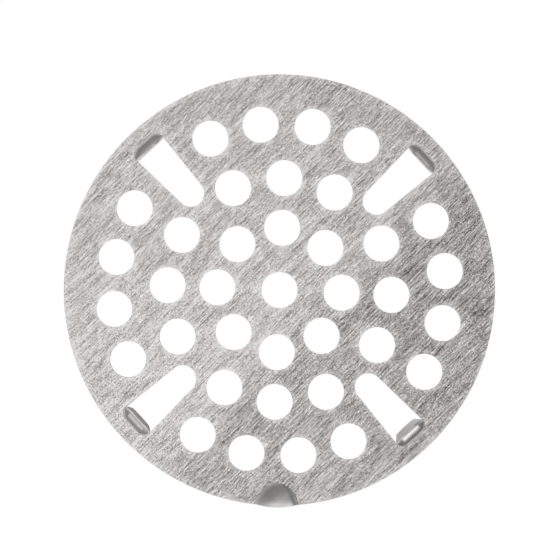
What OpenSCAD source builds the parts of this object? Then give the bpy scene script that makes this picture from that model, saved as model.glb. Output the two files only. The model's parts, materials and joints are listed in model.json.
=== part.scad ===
// Flat snap-in drain strainer.
// One disc of sheet metal with drain holes, four tapered slots and a finger dimple. The tab cut
// free by each slot is bent down at the slot's outer end and springs against the drain's throat.
// The disc lies in the XY plane with its underside, which rests on the drain's seat, at z = 0.
// The dimple is at the front, towards -Y, and the slots are on the diagonals.

/* [Disc] */
// Diameter of the disc
disc_d = 76.2; // [75:0.1:80]
// Thickness of the sheet
sheet_t = 0.95; // [0.8:0.05:1.2]

/* [Drain holes] */
// Diameter of every drain hole
hole_d = 6.4; // [5:0.1:6.8]
// Distance from the centre to the inner ring of 8 holes
ring_1_r = 11.0; // [10.6:0.1:11.6]
// Distance from the centre to the middle ring of 12 holes
ring_2_r = 19.8; // [19.2:0.1:20.4]
// Distance from the centre to the outer ring of 16 holes
ring_3_r = 29.4; // [28.8:0.1:30]
// Angle between neighbours in each group of 3 holes in the middle ring
ring_2_step = 27; // [25:0.5:27]
// Angle between neighbours in each group of 4 holes in the outer ring
ring_3_step = 18; // [16:0.5:18.5]

/* [Slots and legs] */
// Distance from the centre to the line where the legs start to bend
bend_line_r = 35.4; // [35:0.1:35.6]
// Length of sheet, from bend line to tip, that each slot frees
tab_len = 14.6; // [12:0.1:14.8]
// Radius of the leg's tip
tip_r = 2.4; // [2:0.1:2.5]
// Angle of each long side of the slot to its middle line
slot_taper = 3.7; // [0:0.1:4]
// Radius of the two outer corners of the slot
corner_r = 1.55; // [1:0.05:1.9]
// Radius of the bend on its outer side
bend_r = 1.75; // [1.6:0.05:2.2]
// Outward lean of the legs: rear right, rear left, front left, front right
leg_lean = [3.5, 3.5, 1, -1]; // [-5:0.5:5]
// Gap that the punch left between a leg's edge and the edge of its slot
punch_gap = 0.15; // [0.05:0.05:0.3]

/* [Finger dimple] */
// Radius of the dimple's outline
dimple_r = 3.7; // [3:0.1:4.2]
// Depth of the dimple at the rim
dimple_depth = 0.55; // [0.3:0.05:0.65]
// How far the rim bulges out at the dimple
dimple_bulge = 0.35; // [0.1:0.05:0.5]
// Direction of the dimple from the centre
dimple_angle = -88.2; // [-95:0.1:-85]

/* [Hidden] */
$fn = 96;
brushed_steel = [0.72, 0.71, 0.70];
bent_steel = [0.80, 0.80, 0.79];

// Hole centres as [distance from the centre, angle]
hole_places = concat(
    [[0, 0]],
    [for (i = [0:7]) [ring_1_r, 45 * i]],
    [for (side = [0:3], i = [-1:1]) [ring_2_r, 90 * side + ring_2_step * i]],
    [for (side = [0:3], i = [-1.5:1:1.5]) [ring_3_r, 90 * side + ring_3_step * i]]
);

// The slots and legs, anticlockwise from the rear right
CORNERS = ["rear_right", "rear_left", "front_left", "front_right"];
leg_angles = [45, 135, 225, 315];

// A slot's round inner end, its half width at a distance from the centre, and its outer corners
tip_x = bend_line_r - tab_len + tip_r;
function half_width(x) = tip_r / cos(slot_taper) + (x - tip_x) * tan(slot_taper);
corner_x = bend_line_r - corner_r;
corner_y = half_width(corner_x) - corner_r / cos(slot_taper);
// How far inside a round end its straight sides stop, so that the two cross cleanly
tuck = 0.01;

// The bend turns on an axis below the bend line. The sheet keeps its length half way through it.
bend_z = sheet_t - bend_r;
bend_mid_r = bend_r - sheet_t / 2;
function bend_angle(lean) = 90 + lean;
function bend_len(lean) = bend_mid_r * bend_angle(lean) * PI / 180;

// The leg's round head flexes in a round seat just below the bend, both centred on the hinge line
head_r = 0.70;
seat_r = head_r + 0.03;
hinge_drop = 0.75;
root_len = 0.30;
root_gap = 0.06;
function hinge_x(lean) = bend_line_r - bend_len(lean) - hinge_drop;

// The dimple is the mark of a ball whose centre is above the rim
disc_r = disc_d / 2;
ball_r = (dimple_r * dimple_r + dimple_depth * dimple_depth) / (2 * dimple_depth);
// The rim's bulge is an arc over the width of the dimple
bulge_rise = disc_r - sqrt(disc_r * disc_r - dimple_r * dimple_r) + dimple_bulge;
bulge_r = (dimple_r * dimple_r + bulge_rise * bulge_rise) / (2 * bulge_rise);

// Outline of the disc, with the bulge at the dimple
module outline() {
    circle(disc_r);
    rotate(dimple_angle) translate([disc_r + dimple_bulge - bulge_r, 0]) circle(bulge_r);
}

// A slot along +X, drawn in by a gap on its free edges
module slot(gap = 0) {
    end_r = tip_r - gap;
    turn_r = corner_r - gap;
    side = [sin(slot_taper), cos(slot_taper)];
    half = [
        [tip_x, 0] + (end_r - tuck) * [-side.x, side.y],
        [corner_x, corner_y] + (turn_r - tuck) * [-side.x, side.y],
        [bend_line_r, corner_y]
    ];
    translate([tip_x, 0]) circle(end_r);
    for (s = [-1, 1]) translate([corner_x, s * corner_y]) circle(turn_r);
    polygon(concat(half, [for (i = [2:-1:0]) [half[i].x, -half[i].y]]));
}

// Places flat sheet that lies along -X from the bend's end, with its middle at z = 0
module folded_down(lean) {
    translate([bend_line_r, 0, bend_z])
        rotate([0, -bend_angle(lean), 0])
            translate([0, 0, bend_mid_r])
                children();
}

// A round bar on the hinge line of folded sheet
module hinge_bar(r, width) {
    translate([-hinge_drop, 0, 0]) rotate([90, 0, 0]) cylinder(r = r, h = width, center = true);
}

// The quarter turn that carries a leg, with the seat for the leg's head at its end
module bend(lean) {
    width = 4 * tip_r;
    difference() {
        intersection() {
            union() {
                translate([bend_line_r, 0, bend_z])
                    rotate([90, 0, 0])
                        rotate([0, 0, 90])
                            rotate_extrude(angle = bend_angle(lean))
                                translate([bend_r - sheet_t, -width / 2])
                                    square([sheet_t, width]);
                folded_down(lean)
                    translate([-root_len, -width / 2, -sheet_t / 2])
                        cube([root_len, width, sheet_t]);
            }
            translate([0, 0, -bend_r]) linear_extrude(2 * bend_r) slot(root_gap);
        }
        folded_down(lean) hinge_bar(seat_r, width + 1);
    }
}

module strainer_plate() {
    color(brushed_steel) {
        difference() {
            linear_extrude(sheet_t) outline();
            for (place = hole_places)
                rotate(place[1]) translate([place[0], 0, -1])
                    cylinder(d = hole_d, h = sheet_t + 2);
            for (angle = leg_angles)
                rotate(angle) translate([0, 0, -1]) linear_extrude(sheet_t + 2) slot();
            rotate(dimple_angle) translate([disc_r, 0, sheet_t - dimple_depth + ball_r])
                rotate([90, 0, 0]) sphere(ball_r);
        }
        for (i = [0:3]) rotate(leg_angles[i]) bend(leg_lean[i]);
    }
}

// A leg is what the slot freed, past the bend: tapered sheet with a round tip and a round head
module spring_leg(i) {
    lean = leg_lean[i];
    bend_end_x = bend_line_r - bend_len(lean);
    end_r = tip_r - punch_gap;
    top = half_width(hinge_x(lean)) - punch_gap / cos(slot_taper);
    tip = [tip_x, 0] + (end_r - tuck) * [-sin(slot_taper), cos(slot_taper)];
    color(bent_steel) rotate(leg_angles[i]) folded_down(lean) {
        translate([-bend_end_x, 0, -sheet_t / 2]) linear_extrude(sheet_t) {
            translate([tip_x, 0]) circle(end_r);
            polygon([tip, [hinge_x(lean), top], [hinge_x(lean), -top], [tip.x, -tip.y]]);
        }
        intersection() {
            translate([-hinge_drop, -top, -sheet_t / 2]) cube([head_r, 2 * top, sheet_t]);
            hinge_bar(head_r, 2 * top);
        }
    }
}

strainer_plate();
for (i = [0:3]) {
    spring_leg(i);
}
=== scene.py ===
import json
import math

import bpy
import numpy as np
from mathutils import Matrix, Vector
from mathutils.geometry import delaunay_2d_cdt


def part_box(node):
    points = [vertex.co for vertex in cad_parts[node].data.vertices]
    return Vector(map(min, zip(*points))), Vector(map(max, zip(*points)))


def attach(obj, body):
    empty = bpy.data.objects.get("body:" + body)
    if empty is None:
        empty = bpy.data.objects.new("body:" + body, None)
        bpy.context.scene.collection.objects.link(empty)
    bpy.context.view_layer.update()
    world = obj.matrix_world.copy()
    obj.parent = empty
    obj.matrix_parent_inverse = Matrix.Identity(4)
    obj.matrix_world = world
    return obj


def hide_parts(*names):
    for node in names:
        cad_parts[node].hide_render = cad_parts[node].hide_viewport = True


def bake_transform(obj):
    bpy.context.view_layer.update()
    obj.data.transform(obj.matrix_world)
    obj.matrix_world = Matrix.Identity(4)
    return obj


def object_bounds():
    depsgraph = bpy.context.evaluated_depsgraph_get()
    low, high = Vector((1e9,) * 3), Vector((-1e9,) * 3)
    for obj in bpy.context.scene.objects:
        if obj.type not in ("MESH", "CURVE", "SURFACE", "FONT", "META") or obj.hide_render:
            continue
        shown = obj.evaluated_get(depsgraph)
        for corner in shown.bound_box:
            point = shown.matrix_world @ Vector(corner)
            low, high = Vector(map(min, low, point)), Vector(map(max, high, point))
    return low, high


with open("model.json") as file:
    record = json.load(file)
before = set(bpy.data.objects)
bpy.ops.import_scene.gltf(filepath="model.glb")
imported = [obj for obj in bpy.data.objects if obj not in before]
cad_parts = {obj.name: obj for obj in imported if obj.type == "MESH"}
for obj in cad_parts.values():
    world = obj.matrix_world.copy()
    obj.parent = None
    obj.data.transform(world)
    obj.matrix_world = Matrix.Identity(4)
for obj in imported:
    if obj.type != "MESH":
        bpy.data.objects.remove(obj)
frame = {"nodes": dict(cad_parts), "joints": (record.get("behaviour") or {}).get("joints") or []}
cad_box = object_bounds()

# Shapes are worked out in millimetres and turned into metres as each mesh is made.
MM = 0.001

# The disc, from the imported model, whose underside is at zero
plate_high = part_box("strainer_plate")[1]
DISC_R = plate_high.y / MM
SHEET_T = plate_high.z / MM
LOWEST_Z = cad_box[0][2]

# Drain holes: radius, and rings as (distance from the centre, angles)
HOLE_R = 3.2
RING_1 = (11.0, [45 * i for i in range(8)])
RING_2 = (19.8, [90 * side + 27 * i for side in range(4) for i in (-1, 0, 1)])
RING_3 = (29.4, [90 * side + 18 * i for side in range(4) for i in (-1.5, -0.5, 0.5, 1.5)])

# Slots, and the tabs that they free
BEND_LINE_R = 35.4
TAB_LEN = 14.6
TIP_R = 2.4
TAPER = math.radians(3.7)
CORNER_R = 1.55
TIP_X = BEND_LINE_R - TAB_LEN + TIP_R
CORNER_X = BEND_LINE_R - CORNER_R
CORNER_Y = (TIP_R - CORNER_R) / math.cos(TAPER) + (CORNER_X - TIP_X) * math.tan(TAPER)
AZIMUTHS = {
    corner: math.radians(angle) for corner, angle in
    (("rear_right", 45), ("rear_left", 135), ("front_left", 225), ("front_right", 315))}

# Bends. The kink is how sharply each one starts, from 0, a plain round bend, to 1.
BEND_R = 1.75
BEND_MID_R = BEND_R - SHEET_T / 2
BEND_Z = SHEET_T - BEND_R
KINK = 0.6

# A leg's hinge line is this far past the end of its bend.
HINGE_DROP = 0.75

# Finger dimple: direction, radius, depth, bulge of the rim, and how far inside the disc's plain
# edge its centre is. Its fullness is the power in its outline, where 2 is a circle. Its softness
# is how gently its edge starts, at places across it from left to right. Past a share of its depth
# the sheet is pressed smooth.
DIMPLE_AT = math.radians(-88.2)
DIMPLE_R = 3.7
DIMPLE_DEPTH = 0.55
DIMPLE_BULGE = 0.35
DIMPLE_INSET = 0.2
DIMPLE_FULLNESS = 1.5
DIMPLE_SOFTNESS = ([-1, 0.3, 1], [0.40, 0.10, 0.04])
PRESSED_FROM = 1 / 8

# Spacing of points along the slots and holes and on the disc's faces, and how far points on the
# faces keep inside the rim
SLOT_STEP = 0.2
HOLE_STEP = 0.27
GRID = 0.7
RIM_MARGIN = 0.15

# Finer points round the dimple: spacing, how far they reach, and how far they keep from edges
BOWL_STEP = 0.2
BOWL_REACH = 5.4
BOWL_MARGIN = 0.13

# How far in from a cut edge the steel is painted lighter: a painted highlight that stands in for
# the reflection the rolled edges catch
EDGE_HIGHLIGHT_REACH = 0.38

# How strongly the brush lines show, from 0 to 1, on the disc's underside, the bends and the legs,
# and how far below its bend a leg shows them fully
UNDERSIDE_BRUSHED = 0.6
BEND_BRUSHED = 0.1
BLADE_BRUSHED = 0.7
BRUSH_FADE = 1.5


# ---------------------------------------------------------------- outlines

def arc(centre, radius, start, stop, step):
    """Points and outward directions along an arc, from start to stop in degrees."""
    count = max(2, round(abs(math.radians(stop - start)) * radius / step) + 1)
    angles = np.radians(np.linspace(start, stop, count))
    out = np.c_[np.cos(angles), np.sin(angles)]
    return np.array(centre) + radius * out, out


def line(a, b, out, step):
    """Points between a and b, both left out, with one outward direction."""
    count = max(1, round(np.linalg.norm(b - a) / step))
    share = np.arange(1, count)[:, None] / count
    return a + share * (b - a), np.tile(out, (count - 1, 1))


def slot_outline():
    """A slot along +X, anticlockwise, with the directions out of it."""
    tilt = 90 + math.degrees(TAPER)
    side = np.array([-math.sin(TAPER), math.cos(TAPER)])
    upper = arc((CORNER_X, CORNER_Y), CORNER_R, 0, tilt, SLOT_STEP / 2)
    tip = arc((TIP_X, 0), TIP_R, tilt, 360 - tilt, SLOT_STEP)
    lower = arc((CORNER_X, -CORNER_Y), CORNER_R, 360 - tilt, 360, SLOT_STEP / 2)
    pieces = [
        upper,
        line(upper[0][-1], tip[0][0], side, SLOT_STEP),
        tip,
        line(tip[0][-1], lower[0][0], side * (1, -1), SLOT_STEP),
        lower,
        line(lower[0][-1], upper[0][0], (1, 0), SLOT_STEP),
    ]
    return np.vstack([p for p, _ in pieces]), np.vstack([n for _, n in pieces])


def rim_outline(count=900):
    """The disc's rim, clockwise, with its bulge at the dimple and the directions into the disc."""
    rise = DISC_R - math.sqrt(DISC_R**2 - DIMPLE_R**2) + DIMPLE_BULGE
    bulge_r = (DIMPLE_R**2 + rise**2) / (2 * rise)
    centre_r = DISC_R + DIMPLE_BULGE - bulge_r
    angles = DIMPLE_AT - np.linspace(0, 2 * math.pi, count, endpoint=False)
    off = np.arctan2(np.sin(angles - DIMPLE_AT), np.cos(angles - DIMPLE_AT))
    inner = np.maximum(bulge_r**2 - (centre_r * np.sin(off)) ** 2, 0)
    near_dimple = np.abs(off) < 2 * DIMPLE_R / DISC_R
    bulged = np.where(near_dimple, centre_r * np.cos(off) + np.sqrt(inner), 0)
    radius = np.maximum(DISC_R, bulged)
    points = radius[:, None] * np.c_[np.cos(angles), np.sin(angles)]
    along = np.roll(points, -1, axis=0) - np.roll(points, 1, axis=0)
    along /= np.linalg.norm(along, axis=1)[:, None]
    return points, np.c_[along[:, 1], -along[:, 0]]


def turned(points, angle):
    """Points turned anticlockwise about the disc's axis."""
    c, s = math.cos(angle), math.sin(angle)
    return points @ np.array([[c, s], [-s, c]])


def ease(low, high, value):
    """0 at low and before it, 1 at high and past it, and smooth between."""
    share = np.clip((value - low) / (high - low), 0, 1)
    return share * share * (3 - 2 * share)


def half_width(x):
    """Half a slot's width between its straight sides."""
    return TIP_R / math.cos(TAPER) + (x - TIP_X) * math.tan(TAPER)


def in_slot(at):
    """True for the points inside a slot along +X, apart from its rounded corners."""
    x, y = at.T
    past_tip = (x > TIP_X) & (x < BEND_LINE_R) & (np.abs(y) < half_width(np.maximum(x, TIP_X)))
    return past_tip | (np.hypot(x - TIP_X, y) < TIP_R)


def pocket_depth(at):
    """How far points are inside the rounded outer end of a slot along +X."""
    x, y = at[:, 0], np.abs(at[:, 1])
    corner = CORNER_R - np.hypot(np.maximum(x - CORNER_X, 0), np.maximum(y - CORNER_Y, 0))
    return np.where(y > CORNER_Y, corner, BEND_LINE_R - x)


def clearance(points, fixed, batch=400):
    """The distance from each point to the nearest fixed one."""
    return np.concatenate([
        np.min(np.linalg.norm(points[k:k + batch, None] - fixed[None], axis=2), axis=1)
        for k in range(0, len(points), batch)])


# ---------------------------------------------------------------- cut edges

# Rolled edges that the punch left on the upper side, as (width, depth), the break on the lower
# side, and the ring of points that holds the flat faces flat
RIM_ROLL = (0.06, 0.02)
HOLE_ROLL = (0.05, 0.02)
SLOT_ROLL = (0.06, 0.03)
BREAK = 0.03
SUPPORT = 0.05

# Round its outer end a slot is a pocket, which the bend drew down: how wide the drawn edge is, how
# far it sinks, each edge row's share of that, and where along the slot the punched sides turn
# into it
POCKET_ROLL = 0.22
POCKET_SINK = 0.36 * POCKET_ROLL * KINK
POCKET_SHARES = (0, 0, 1 / 3, 2 / 3, 1, 1, 0.9, 0)
DRAWN_FROM_TO = (CORNER_X - 1.2, CORNER_X + 0.3)


def punched_edge(roll_w, roll_d):
    """An edge that a punch rolled over: rows of (inset, drop, upper side, flatness)."""
    rows = [(roll_w + SUPPORT, 0.0, True, 1.0)]
    for turn in np.radians([0, 30, 60, 90]):
        rows.append((roll_w * (1 - math.sin(turn)), roll_d * (1 - math.cos(turn)), True,
                     math.cos(turn)))
    return rows + [(0.0, BREAK, False, 0.0), (BREAK, 0.0, False, 0.3),
                   (roll_w + SUPPORT, 0.0, False, 1.0)]


def slot_edge(points):
    """A slot's edge: punched along its sides, and drawn down softly round its outer end."""
    drawn = ease(*DRAWN_FROM_TO, points[:, 0])
    rows = []
    for share, (inset, drop, upper, flat) in zip(POCKET_SHARES, punched_edge(*SLOT_ROLL)):
        pocket_inset = POCKET_ROLL * (1 - share) + SUPPORT * (inset > SLOT_ROLL[0])
        sink = POCKET_SINK * share**2 if upper else drop
        rows.append((inset + (pocket_inset - inset) * drawn, drop + (sink - drop) * drawn, upper,
                     flat + (1 - share - flat) * drawn if upper else flat))
    return rows


# ---------------------------------------------------------------- sheet metal pieces

def cap_triangles(points, outlines):
    """Triangles between the outlines, outside the holes, as lists of three places in points."""
    corners, _, triangles, source, _, within = delaunay_2d_cdt(
        [Vector(p) for p in points], [], outlines, 1, 1e-6, True)
    for triangle, areas in zip(triangles, within):
        if set(areas) != {0}:
            continue
        a, b, c = (corners[k] for k in triangle)
        if (b - a).cross(c - a) < 0:
            triangle = triangle[::-1]
        yield [source[k][0] for k in triangle]


def sheet_piece(loops, inner, top):
    """Cut sheet with its underside at zero, as a closed mesh. Each loop is (points, directions
    into the metal, edge rows), the outside first and clockwise, then the holes anticlockwise.
    Returns vertices, faces, how flat each vertex is, and the edges that stay sharp."""
    vertices, faces, flat, sharp = [], [], [], []
    outlines, top_ids, low_ids = [], [], []
    for points, into, rows in loops:
        n = len(points)
        steps = list(zip(range(n), [*range(1, n), 0]))
        first = len(vertices)
        for inset, drop, upper, flatness in rows:
            at = points + into * np.broadcast_to(inset, n)[:, None]
            vertices.extend(np.c_[at, top(at) - drop if upper else np.broadcast_to(drop, n)])
            flat.extend(np.broadcast_to(flatness, n))
        rings = [range(k, k + n) for k in range(first, len(vertices), n)]
        for a, b in zip(rings, rings[1:]):
            faces.extend((a[i], a[j], b[j], b[i]) for i, j in steps)
        for ring in rings[-3:-1]:
            sharp.extend((ring[i], ring[j]) for i, j in steps)
        outlines.append(list(range(len(top_ids), len(top_ids) + n)))
        top_ids.extend(rings[0])
        low_ids.extend(rings[-1])
    for ids, height in ((top_ids, top(inner)), (low_ids, np.zeros(len(inner)))):
        ids.extend(range(len(vertices), len(vertices) + len(inner)))
        vertices.extend(np.c_[inner, height])
        flat.extend([1.0] * len(inner))
    vertices = np.array(vertices)
    outlines[0].reverse()
    for triangle in cap_triangles(vertices[top_ids, :2], outlines):
        faces.append(tuple(top_ids[k] for k in triangle))
        faces.append(tuple(low_ids[k] for k in reversed(triangle)))
    return vertices, faces, np.array(flat), sharp


def build(name, vertices, faces, sharp, masks):
    """A smooth mesh object in metres, with sharp edges and named values on its points."""
    mesh = bpy.data.meshes.new(name)
    mesh.from_pydata([tuple(v) for v in vertices * MM], [], faces)
    mesh.update()
    mesh.polygons.foreach_set("use_smooth", [True] * len(mesh.polygons))
    wanted = {tuple(sorted(e)) for e in sharp}
    is_sharp = [tuple(sorted(e.vertices)) in wanted for e in mesh.edges]
    mesh.attributes.new("sharp_edge", "BOOLEAN", "EDGE").data.foreach_set("value", is_sharp)
    for label, values in masks.items():
        if values.ndim == 1:
            mesh.attributes.new(label, "FLOAT", "POINT").data.foreach_set("value", values)
        else:
            data = mesh.attributes.new(label, "FLOAT_VECTOR", "POINT").data
            data.foreach_set("vector", values.ravel())
    piece = bpy.data.objects.new(name, mesh)
    bpy.context.scene.collection.objects.link(piece)
    return piece


# ---------------------------------------------------------------- the disc

HOLE_CENTRES = np.array([(0.0, 0.0)] + [
    (r * math.cos(math.radians(a)), r * math.sin(math.radians(a)))
    for r, angles in (RING_1, RING_2, RING_3) for a in angles])
DIMPLE_CENTRE = (DISC_R - DIMPLE_INSET) * np.array([math.cos(DIMPLE_AT), math.sin(DIMPLE_AT)])


def dimple_share(at):
    """Depth of the dimple at some points, as a share of its greatest depth. It slopes down to
    the rim. Its right side has a crisp crease, and its left side fades out."""
    across, inward = (turned(at - DIMPLE_CENTRE, -DIMPLE_AT - math.pi / 2) / DIMPLE_R).T
    middle = 1 - np.abs(inward) ** DIMPLE_FULLNESS
    side = across**2 / np.maximum(middle, 0.001)
    side = np.where(across > 0, side**4, side)
    bowl = np.where(middle > 0, middle * (1 - side), middle - across**2)
    soft = np.interp(across, *DIMPLE_SOFTNESS)
    return np.where(bowl > soft, bowl, np.maximum(bowl + soft, 0) ** 2 / (4 * soft))


def plate_top(at):
    """Height of the disc's upper face."""
    return SHEET_T - DIMPLE_DEPTH * dimple_share(at)


def to_nearest_edge(at):
    """The distance to the nearest edge in the disc, never less than zero."""
    slot = slot_outline()[0]
    gaps = [DISC_R - np.linalg.norm(at, axis=1),
            clearance(at, HOLE_CENTRES) - HOLE_R]
    for azimuth in AZIMUTHS.values():
        local = turned(at, -azimuth)
        on_side = local[:, 0] > 0
        gap = np.full(len(at), math.inf)
        gap[on_side] = clearance(local[on_side], slot)
        gaps.append(gap)
    return np.maximum(np.min(gaps, axis=0), 0)


def plate_loops():
    """The edges of the disc, its holes and its slots, for sheet_piece."""
    rim, into = rim_outline()
    loops = [(rim, into, punched_edge(*RIM_ROLL))]
    hole, out = arc((0, 0), HOLE_R, 0, 360, HOLE_STEP)
    for centre in HOLE_CENTRES:
        loops.append((hole[:-1] + centre, out[:-1], punched_edge(*HOLE_ROLL)))
    slot, slot_out = slot_outline()
    for azimuth in AZIMUTHS.values():
        loops.append((turned(slot, azimuth), turned(slot_out, azimuth), slot_edge(slot)))
    return loops


def face_points(loops):
    """Points on the disc's faces: a triangular grid, and finer rings round the dimple."""
    fixed = np.vstack([points + into * np.broadcast_to(rows[0][0], len(points))[:, None]
                       for points, into, rows in loops])
    heights = np.arange(-DISC_R, DISC_R, GRID * math.sqrt(3) / 2)
    grid = np.array([(x + (k % 2) * GRID / 2, y) for k, y in enumerate(heights)
                     for x in np.arange(-DISC_R, DISC_R, GRID)])
    grid = grid[np.linalg.norm(grid - DIMPLE_CENTRE, axis=1) > BOWL_REACH]
    bowl = np.array([DIMPLE_CENTRE + r * np.array([math.cos(a), math.sin(a)])
                     for r in np.arange(BOWL_STEP, BOWL_REACH - BOWL_STEP, BOWL_STEP)
                     for a in np.arange(0, 2 * math.pi, BOWL_STEP / r)])
    inner = np.vstack([grid[clearance(grid, fixed) > GRID / 2],
                       bowl[clearance(bowl, fixed) > BOWL_MARGIN]])
    metal = np.linalg.norm(inner, axis=1) < DISC_R - RIM_MARGIN
    metal &= clearance(inner, HOLE_CENTRES) > HOLE_R
    for azimuth in AZIMUTHS.values():
        metal &= ~in_slot(turned(inner, -azimuth))
    return inner[metal]


def make_plate():
    """The disc: flat sheet with its holes, slots and dimple. Its bends belong to the legs."""
    loops = plate_loops()
    vertices, faces, flat, sharp = sheet_piece(loops, face_points(loops), plate_top)
    at, z = vertices[:, :2], vertices[:, 2]
    pressed = np.clip(dimple_share(at) / PRESSED_FROM, 0, 1) * (z > BREAK * 2)
    side = np.where(z < SHEET_T / 4, UNDERSIDE_BRUSHED, 1.0)
    # The edge value paints a highlight near the disc's cut edges.
    edge = np.exp(-to_nearest_edge(at) / EDGE_HIGHLIGHT_REACH)
    masks = {"brushed": flat * (1 - pressed) * side, "edge": edge, "place": vertices}
    return build("strainer_disc", vertices, faces, sharp, masks)


# ---------------------------------------------------------------- the legs

# A leg starts inside the disc's metal: how far back, how far its underside is raised there, and
# how far either side of the bend line that rise takes
ROOT_LEN = 0.3
ROOT_LIFT = 0.12
ROOT_FADE = 0.1

# Gap that the punch left at a leg's sides and tip, and the radius of the leg's own edges
SIDE_GAP = 0.16
END_R = TIP_R - SIDE_GAP
EDGE_R = 0.08

# The fold's face sinks in a fine crease along the pocket's edge
CREASE_DEPTH = 0.03
CREASE_WIDTH = 0.12

# Where a tab's upper face widens to fill the pocket, and where it is drawn round its corners
WIDENS_FROM_TO = (CORNER_X - 0.2, CORNER_X + 0.3)
ROUNDS_FROM_TO = (CORNER_X - 0.35, CORNER_X + 0.5)

# Cross-sections in a leg's bend, blade and round tip, how far round the tip the last one is, in
# degrees, and the number of points across each of the leg's faces
BEND_ROWS, BLADE_ROWS, TIP_ROWS = 34, 22, 14
TIP_END = 87
ACROSS = 37


def fold(run, height, turn):
    """Where sheet that is run along from the bend line lies once it is folded: distance from
    the centre, and height. height is measured from the middle of the sheet."""
    angle = np.clip(run / BEND_MID_R, 0, turn)
    past = np.maximum(run - BEND_MID_R * turn, 0) + np.minimum(run, 0)
    radius = BEND_MID_R + height
    x = BEND_LINE_R - radius * np.sin(angle) - past * np.cos(angle)
    z = BEND_Z + radius * np.cos(angle) - past * np.sin(angle)
    return x, z


def cut_width(run):
    """Half the width that a tab was cut to, with its round tip."""
    side = half_width(BEND_LINE_R - run) - SIDE_GAP
    past = run - (BEND_LINE_R - TIP_X)
    tip = np.sqrt(np.maximum(END_R**2 - past**2, 0))
    return np.where(past > 0, np.minimum(side, tip), side)


def tab_width(run, x):
    """Half the width of a tab's upper face: inside the disc's metal round the pocket, then as
    cut. x is the face's distance from the centre, and stays at its least past the bend."""
    inside = CORNER_R + ROOT_LEN
    pocket = CORNER_Y + np.sqrt(np.maximum(inside**2 - np.maximum(x - CORNER_X, 0) ** 2, 0))
    cut = cut_width(run)
    return cut + (pocket - cut) * ease(*WIDENS_FROM_TO, x)


def drawn_shift(x, y):
    """How far the fold's face moves from a plain round bend. It is drawn round the pocket's
    corners, and starts at once at an angle."""
    end = BEND_LINE_R - x
    inside = pocket_depth(np.c_[x, y])
    side = tab_width(end, x) - np.abs(y)
    inside = np.where(x > CORNER_X, inside, np.minimum(inside, np.maximum(side, 0)))
    depth = end + (np.minimum(inside, end) - end) * ease(*ROUNDS_FROM_TO, x)
    share = np.clip(depth / BEND_R, 0, 1)
    face = (1 - KINK) * np.sqrt(1 - share**2) + KINK * np.sqrt(1 - share)
    wanted = BEND_Z + BEND_R * face - POCKET_SINK * (1 - share)
    buried = SHEET_T - POCKET_SINK * np.clip(1 + depth / POCKET_ROLL, 0, 1) ** 2
    crease = CREASE_DEPTH * np.exp(-np.maximum(depth, 0) / CREASE_WIDTH)
    plain = BEND_Z + np.sqrt(np.maximum(BEND_R**2 - np.maximum(end, 0) ** 2, 0))
    return np.where(depth < 0, buried, wanted) - crease - plain


def section():
    """Round a leg's cross-section: share of the half width, inset, height from the middle."""
    half_t = SHEET_T / 2
    across = np.sin(np.radians(np.linspace(-90, 90, ACROSS)))
    corner = [(EDGE_R * (1 - math.sin(turn)), half_t - EDGE_R * (1 - math.cos(turn)))
              for turn in np.radians([30, 60, 90])]
    steps = []
    for side in (1, -1):
        steps += [(side * c, EDGE_R, side * half_t) for c in across]
        steps += [(side, inset, side * height) for inset, height in corner]
        steps += [(side, inset, -side * height) for inset, height in reversed(corner)]
    return np.array(steps)


def leg_rows(turn):
    """How far along a leg each cross-section is, and how far it is round the tip, up to 1."""
    tip_run = BEND_LINE_R - TIP_X
    tip = np.sin(np.radians(np.linspace(0, TIP_END, TIP_ROWS)))
    runs = np.r_[-ROOT_LEN, -ROOT_LEN / 2, BEND_MID_R * np.linspace(0, turn, BEND_ROWS),
                 np.linspace(BEND_MID_R * turn, tip_run, BLADE_ROWS)[1:-1],
                 tip_run + END_R * tip]
    return runs, np.r_[np.zeros(len(runs) - len(tip)), tip]


def tube_faces(count, around):
    """Faces round count cross-sections with around points each, and at the two ends."""
    sides = [(r * around + i, r * around + (i + 1) % around,
              (r + 1) * around + (i + 1) % around, (r + 1) * around + i)
             for r in range(count - 1) for i in range(around)]
    return sides + [tuple(reversed(range(around))),
                    tuple(range((count - 1) * around, count * around))]


def placed(x, y, z, azimuth):
    """Rows of points for a leg along +X, turned to its azimuth."""
    return np.c_[turned(np.c_[x.ravel(), y.ravel()], azimuth), np.broadcast_to(z, x.shape).ravel()]


def make_leg(name, azimuth, lean):
    """A leg with its bend: one unbroken sheet from inside the disc's metal to the round tip."""
    turn = math.pi / 2 + lean
    runs, round_tip = leg_rows(turn)
    share, inset, height = section().T
    lower = height < 0
    run = runs[:, None] - inset * round_tip[:, None]
    face_x = fold(runs, SHEET_T / 2, turn)[0]
    width = tab_width(runs, np.minimum.accumulate(face_x))
    width = np.where(lower, cut_width(runs)[:, None], width[:, None])
    y = share * (width - inset)
    lift = ease(ROOT_FADE, -ROOT_FADE, runs)[:, None] * lower * ROOT_LIFT
    x, z = fold(run, height + lift, turn)
    shift = drawn_shift(np.repeat(face_x, len(share)), y.ravel()).reshape(y.shape)
    middle = np.argmin(np.abs(share))
    shift = np.where(lower, shift[:, middle, None], shift)
    z = z + shift * (runs < BEND_MID_R * math.pi / 2)[:, None]
    on_blade = ease(BEND_MID_R * turn, BEND_MID_R * turn + BRUSH_FADE, runs)[:, None]
    brushed = BEND_BRUSHED + (BLADE_BRUSHED - BEND_BRUSHED) * on_blade
    # The edge value paints a highlight along the blade's sides, near its cut edges.
    masks = {
        "brushed": (brushed * (inset == EDGE_R)).ravel(),
        "edge": (np.exp(-(width - np.abs(y)) / EDGE_HIGHLIGHT_REACH) * on_blade).ravel(),
        "place": placed(BEND_LINE_R - run, y, height, azimuth),
    }
    return build(name, placed(x, y, z, azimuth), tube_faces(*y.shape), [], masks)


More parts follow.
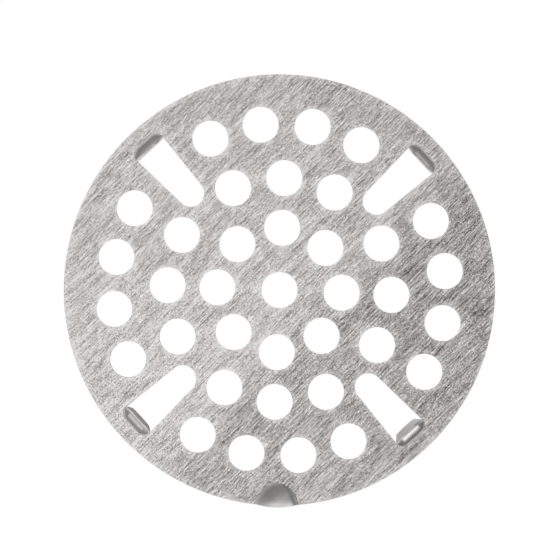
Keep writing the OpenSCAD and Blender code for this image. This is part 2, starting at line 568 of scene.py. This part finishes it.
def leg_lean(pivot_r):
    """The outward lean of a leg whose hinge line is at this distance from the centre."""
    return math.asin((pivot_r - BEND_LINE_R + BEND_MID_R) / HINGE_DROP)


def legs():
    """The four legs, each with the lean that its CAD solid has."""
    for joint in frame["joints"]:
        corner = joint["name"].replace("_flex", "")
        pivot = Vector(joint["pos_m"])
        leg = make_leg("leg_" + corner, AZIMUTHS[corner], leg_lean(pivot.xy.length / MM))
        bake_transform(leg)
        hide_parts("spring_leg_" + corner)
        yield leg


plate = make_plate()
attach(plate, "disc")
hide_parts("strainer_plate")
all_legs = list(legs())


# ---------------------------------------------------------------- materials

# Direction of the brush lines, the colour of the steel with what warmth adds to it, and how
# light a plain stretch of it is
BRUSH_ANGLE = math.radians(47)
STEEL = (0.718, 0.702, 0.690)
WARMTH = (0.06, 0.0, -0.02)
PLAIN_TONE = 0.99

# Painted shade: how much darker the sheet is painted towards the front, from one distance across
# the brush lines to another, and how much with each millimetre along the lines towards the rear
# right, standing in for the lights' reflection fading across the brushed sheet
FRONT_PAINTED_SHADE = 0.24
SHADE_FROM, SHADE_TO = -3.0, -13.0
PAINTED_SHADE_PER_MM = 0.0025

# Height of the bump on the brush lines, in millimetres as everywhere
BUMP_DEPTH = 0.006

# The sets of brush lines: how many degrees they stray, the size of their grain in millimetres
# along the lines, across them and up, detail, a shift that sets each apart, and weight
LINE_SETS = (
    (0, (0.24, 0.14, 3.0), 0.0, (8, 8, 1.4), 1.7),
    (0, (5.0, 0.16, 4.0), 0.0, (5, 3, 2), 0.85),
    (6, (2.0, 0.14, 4.0), 0.0, (7, 1, 6), 0.65),
    (-6, (2.0, 0.14, 4.0), 0.0, (3, 9, 8), 0.65),
    (0, (9.0, 0.19, 4.0), 1.0, (3, 7, 1), 0.15),
)


class Nodes:
    """Short names for making shader nodes in one material."""

    def __init__(self, name):
        self.material = bpy.data.materials.new(name)
        self.material.use_nodes = True
        self.tree = self.material.node_tree
        self.tree.nodes.clear()

    def add(self, kind, **settings):
        """A node with some of its settings."""
        node = self.tree.nodes.new(kind)
        for key, value in settings.items():
            setattr(node, key, value)
        return node

    def feed(self, socket, value):
        """Gives a socket a plain value, or a link from another node's output."""
        if isinstance(value, bpy.types.NodeSocket):
            self.tree.links.new(value, socket)
        else:
            socket.default_value = value

    def fed(self, kind, inputs, **settings):
        """A node with values or links for some of its inputs, by name or number."""
        node = self.add(kind, **settings)
        for key, value in inputs.items():
            self.feed(node.inputs[key], value)
        return node

    def math(self, operation, *values, clamp=False):
        """The result of one Math node."""
        inputs = dict(enumerate(values))
        return self.fed("ShaderNodeMath", inputs, operation=operation, use_clamp=clamp).outputs[0]

    def total(self, *terms):
        """The sum of (value, weight) pairs."""
        result = 0.0
        for value, weight in terms:
            result = self.math("MULTIPLY_ADD", value, weight, result)
        return result

    def attribute(self, name, output="Fac"):
        """A value that the mesh carries on its points."""
        return self.add("ShaderNodeAttribute", attribute_name=name).outputs[output]

    def brush_space(self, stray=0.0):
        """Millimetres along the brush lines, across them, and up, on the sheet before it was
        folded. stray is how many degrees some lines stray from the rest."""
        inputs = {"Angle": -BRUSH_ANGLE - math.radians(stray),
                  "Vector": self.attribute("place", "Vector")}
        return self.fed("ShaderNodeVectorRotate", inputs, rotation_type="Z_AXIS").outputs[0]

    def noise(self, space, grain, detail, shift, rough=0.5):
        """Noise round zero whose grain is in millimetres along each axis of space."""
        inputs = {"Vector": space, "Location": shift, "Scale": [1 / size for size in grain]}
        place = self.fed("ShaderNodeMapping", inputs, vector_type="POINT")
        inputs = {"Vector": place.outputs[0], "Scale": 1.0, "Detail": detail, "Roughness": rough}
        texture = self.fed("ShaderNodeTexNoise", inputs)
        return self.math("SUBTRACT", texture.outputs["Fac"], 0.5)

    def specks(self, noise, above, gain):
        """0 where noise is below a level, and soon 1 past it."""
        return self.math("MULTIPLY", self.math("SUBTRACT", noise, above, clamp=True), gain,
                         clamp=True)

    def painted_shade(self, place):
        """How much darker the sheet is painted, in brush space, as painted shade: in a band across
        the brush lines towards the front, and a little more along them towards the rear right."""
        split = self.fed("ShaderNodeSeparateXYZ", {0: place})
        inputs = {"Value": split.outputs["Y"], "From Min": SHADE_FROM, "From Max": SHADE_TO}
        ramp = self.fed("ShaderNodeMapRange", inputs, interpolation_type="SMOOTHSTEP")
        return self.total((ramp.outputs["Result"], FRONT_PAINTED_SHADE),
                          (split.outputs["X"], PAINTED_SHADE_PER_MM))

    def metal(self, tone, warmth, roughness, height):
        """A metal surface: the steel's colour times tone, a little warmer or cooler in places,
        with its roughness and a bump."""
        tint = self.fed("ShaderNodeVectorMath", {0: warmth, 1: WARMTH, 2: STEEL},
                        operation="MULTIPLY_ADD")
        shade = self.fed("ShaderNodeVectorMath", {0: tint.outputs[0], "Scale": tone},
                         operation="SCALE")
        bump = self.fed("ShaderNodeBump", {"Strength": 1.0, "Distance": BUMP_DEPTH * MM,
                                           "Height": height})
        inputs = {"Metallic": 1.0, "Base Color": shade.outputs[0], "Roughness": roughness,
                  "Normal": bump.outputs[0]}
        return self.finish(self.fed("ShaderNodeBsdfPrincipled", inputs))

    def finish(self, shader):
        """Ends the material with its shader."""
        self.fed("ShaderNodeOutputMaterial", {"Surface": shader.outputs[0]})
        return self.material


def sheet_steel(name, streak_tone, smooth_rough, brushed_rough):
    """Stainless sheet with straight brush lines, smooth where it was drawn, pressed or cut."""
    n = Nodes(name)
    place = n.brush_space()
    brushed = n.attribute("brushed")
    lines = [(n.noise(n.brush_space(stray), grain, detail, shift), weight)
             for stray, grain, detail, shift, weight in LINE_SETS]
    cuts = n.specks(n.noise(place, (5.0, 0.16, 4.0), 1.0, (11, 4, 3)), 0.22, 8.0)
    # Glints: scratch lines, real in their bump and roughness, and painted lighter as a painted
    # highlight where they catch the light.
    glints = n.specks(n.noise(n.brush_space(3), (5.0, 0.14, 4.0), 0.0, (6, 2, 9)), 0.22, 6.0)
    pits = n.specks(n.noise(place, (0.5, 0.5, 3.0), 0.0, (2, 9, 4)), 0.37, 12.0)
    streaks = n.math("MULTIPLY", n.total(*lines, (cuts, -0.4), (glints, 0.65)), brushed)
    wide = n.noise(place, (30.0, 1.6, 9.0), 2.0, (9, 2, 5))
    cloud = n.noise(place, (7.0, 5.0, 9.0), 3.0, (1, 8, 2), 0.6)
    # The edge term adds a painted highlight near cut edges.
    # The last term is painted shade, darker towards the front and towards the rear right.
    tone = n.total((streaks, streak_tone), (wide, 0.48), (cloud, 0.55), (pits, -0.3),
                   (n.attribute("edge"), 0.30), (n.painted_shade(place), -1.0))
    tone = n.math("ADD", tone, PLAIN_TONE)
    rough = n.total((streaks, -0.12), (cloud, 0.10), (brushed, brushed_rough - smooth_rough))
    rough = n.math("ADD", rough, smooth_rough, clamp=True)
    warmth = n.noise(place, (2.0, 1.2, 4.0), 2.0, (4, 6, 8), 0.6)
    warmth = n.total((warmth, 1.0), (brushed, 0.3))
    return n.metal(tone, warmth, rough, streaks)


def paint(piece, material):
    """Makes one material the piece's only one."""
    piece.data.materials.clear()
    piece.data.materials.append(material)


plate_steel = sheet_steel("brushed_plate_steel", 1.0, 0.32, 0.36)
leg_steel = sheet_steel("formed_leg_steel", 0.8, 0.27, 0.34)
for name, node in frame["nodes"].items():
    paint(node, leg_steel if name.startswith("spring_leg") else plate_steel)
paint(plate, plate_steel)
for leg in all_legs:
    paint(leg, leg_steel)


# ---------------------------------------------------------------- floor, lights, camera

# Half the floor's width, in metres
FLOOR_HALF = 1.5

# How bright the floor is to the steel, beside how bright it is to the camera. Its glow holds a
# painted shadow: it is darkest at the front left, where the disc's shadow falls, and brightens
# along one direction.
DARK_GLOW = 0.28
BRIGHT_GLOW = 1.0
GLOW_ANGLE = math.radians(52)
GLOW_FROM, GLOW_TO = -20.0, 14.0

# Light from the white surroundings, overhead and at the horizon, and the height above the
# horizon, as a share of the way up, where it is as weak as overhead
WORLD_OVERHEAD = 0.25
WORLD_HORIZON = 0.45
WORLD_BAND = 0.75

# Softboxes: azimuth from +X and zenith from straight up in degrees, distance in metres, width
# and height in metres, and radiance
SOFTBOXES = {
    "overhead": (225, 4, 1.0, (0.5, 0.5), 0.84),
    "side_right": (350, 21, 0.9, (0.35, 0.25), 0.40),
    "key_left": (135, 69, 0.8, (0.90, 0.44), 1.4),
    "fill_right": (45, 60, 0.8, (0.60, 0.32), 0.55),
    "fill_front": (225, 75, 0.8, (0.60, 0.32), 0.28),
}

# The picture is this wide at the disc's face, with its middle this far from the disc's centre,
# and turned a little against the slots.
VIEW_WIDTH = 98.95
VIEW_CENTRE = (0.09, 1.77)
VIEW_TURN = math.radians(2.47)
CAMERA_HEIGHT = 650.0
SENSOR_WIDTH = 36.0


def make_floor():
    """A plain floor that is evenly white to the camera."""
    mesh = bpy.data.meshes.new("floor")
    corners = [(-1, -1), (1, -1), (1, 1), (-1, 1)]
    mesh.from_pydata([(FLOOR_HALF * x, FLOOR_HALF * y, LOWEST_Z) for x, y in corners], [],
                     [(0, 1, 2, 3)])
    floor = bpy.data.objects.new("floor", mesh)
    bpy.context.scene.collection.objects.link(floor)
    n = Nodes("white_floor")
    place = n.add("ShaderNodeNewGeometry").outputs["Position"]
    along = n.fed("ShaderNodeVectorMath",
                  {0: place, 1: (math.cos(GLOW_ANGLE), math.sin(GLOW_ANGLE), 0)},
                  operation="DOT_PRODUCT")
    inputs = {"Value": along.outputs["Value"], "From Min": GLOW_FROM * MM,
              "From Max": GLOW_TO * MM, "To Min": DARK_GLOW, "To Max": BRIGHT_GLOW}
    glow = n.fed("ShaderNodeMapRange", inputs, interpolation_type="SMOOTHSTEP").outputs["Result"]
    seen = n.add("ShaderNodeLightPath").outputs["Is Camera Ray"]
    light = n.fed("ShaderNodeEmission", {"Strength": n.math("MAXIMUM", glow, seen)})
    mesh.materials.append(n.finish(light))


def make_world():
    """Surroundings that are white to the camera, and light the object more from near the horizon
    than from overhead."""
    world = bpy.data.worlds.new("studio")
    world.use_nodes = True
    nodes, links = world.node_tree.nodes, world.node_tree.links
    background = nodes["Background"]
    background.inputs["Color"].default_value = (1, 1, 1, 1)
    split = nodes.new("ShaderNodeSeparateXYZ")
    links.new(nodes.new("ShaderNodeTexCoord").outputs["Generated"], split.inputs[0])
    ramp = nodes.new("ShaderNodeMapRange")
    ramp.interpolation_type = "SMOOTHSTEP"
    links.new(split.outputs["Z"], ramp.inputs["Value"])
    ramp.inputs["From Max"].default_value = WORLD_BAND
    ramp.inputs["To Min"].default_value = WORLD_HORIZON
    ramp.inputs["To Max"].default_value = WORLD_OVERHEAD
    seen = nodes.new("ShaderNodeMath")
    seen.operation = "MAXIMUM"
    links.new(ramp.outputs["Result"], seen.inputs[0])
    links.new(nodes.new("ShaderNodeLightPath").outputs["Is Camera Ray"], seen.inputs[1])
    links.new(seen.outputs[0], background.inputs["Strength"])
    bpy.context.scene.world = world


def softbox(name, azimuth, zenith, distance, size, radiance):
    """A rectangular light that faces the object."""
    data = bpy.data.lights.new(name, "AREA")
    data.shape = "RECTANGLE"
    data.size, data.size_y = size
    data.energy = radiance * math.pi * data.size * data.size_y
    light = bpy.data.objects.new(name, data)
    a, z = math.radians(azimuth), math.radians(zenith)
    way = Vector((math.sin(z) * math.cos(a), math.sin(z) * math.sin(a), math.cos(z)))
    light.location = way * distance
    light.rotation_euler = way.to_track_quat("Z", "Y").to_euler()
    bpy.context.scene.collection.objects.link(light)


def make_camera():
    """A camera that looks straight down, as in the photograph."""
    data = bpy.data.cameras.new("camera")
    data.sensor_width = SENSOR_WIDTH
    data.lens = data.sensor_width * (CAMERA_HEIGHT - SHEET_T) / VIEW_WIDTH
    data.clip_start = 0.01
    data.clip_end = 10.0
    camera = bpy.data.objects.new("camera", data)
    middle = turned(np.array([VIEW_CENTRE]), VIEW_TURN)[0]
    camera.location = Vector((middle[0], middle[1], CAMERA_HEIGHT)) * MM
    camera.rotation_euler = (0, 0, VIEW_TURN)
    bpy.context.scene.collection.objects.link(camera)
    bpy.context.scene.camera = camera


make_floor()
make_world()
for name, settings in SOFTBOXES.items():
    softbox(name, *settings)
make_camera()
bpy.context.scene.view_settings.view_transform = "Standard"
